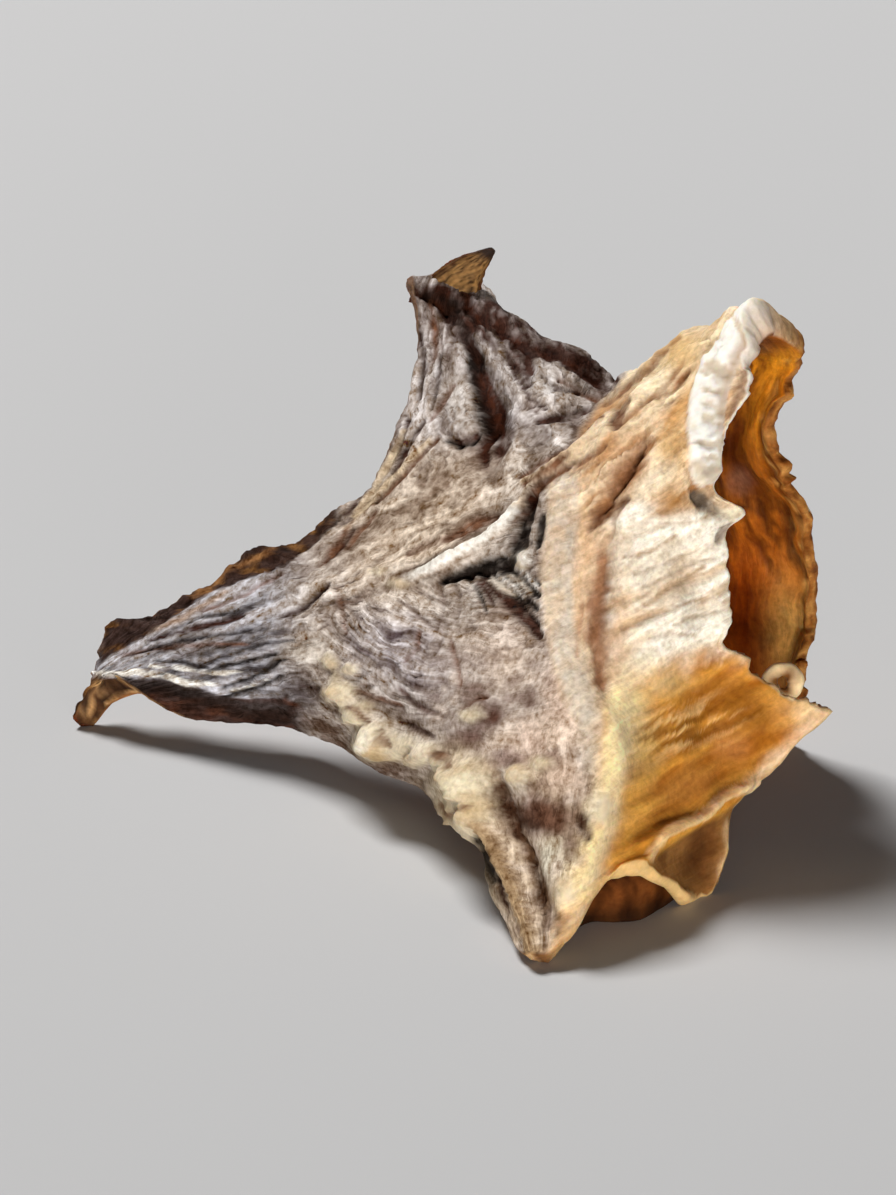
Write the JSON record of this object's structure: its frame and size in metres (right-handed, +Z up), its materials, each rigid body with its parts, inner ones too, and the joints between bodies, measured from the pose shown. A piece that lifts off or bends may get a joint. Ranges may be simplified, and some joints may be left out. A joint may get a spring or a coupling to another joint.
{
  "type": "stockfish piece",
  "caption": "Dried leathery piece of fish: a thin sheet of skin and flesh with pointed corners, folded over a crest so that it stands like a small tent.",
  "frame": {"origin": "middle of the bounding box, on the plane the piece rests on", "axes": "+Z up, +X to the right and +Y away as the piece is seen with its skin side in front"},
  "size_m": [0.0612, 0.0699, 0.0417],
  "materials": {
    "dried_fish": "dried fish: grey-lilac wrinkled skin on the near half, cream fibrous flesh and thin translucent amber flesh on the right and inside"
  },
  "bodies": {
    "root": {"stockfish_piece": "dried_fish"}
  },
  "joints": []
}
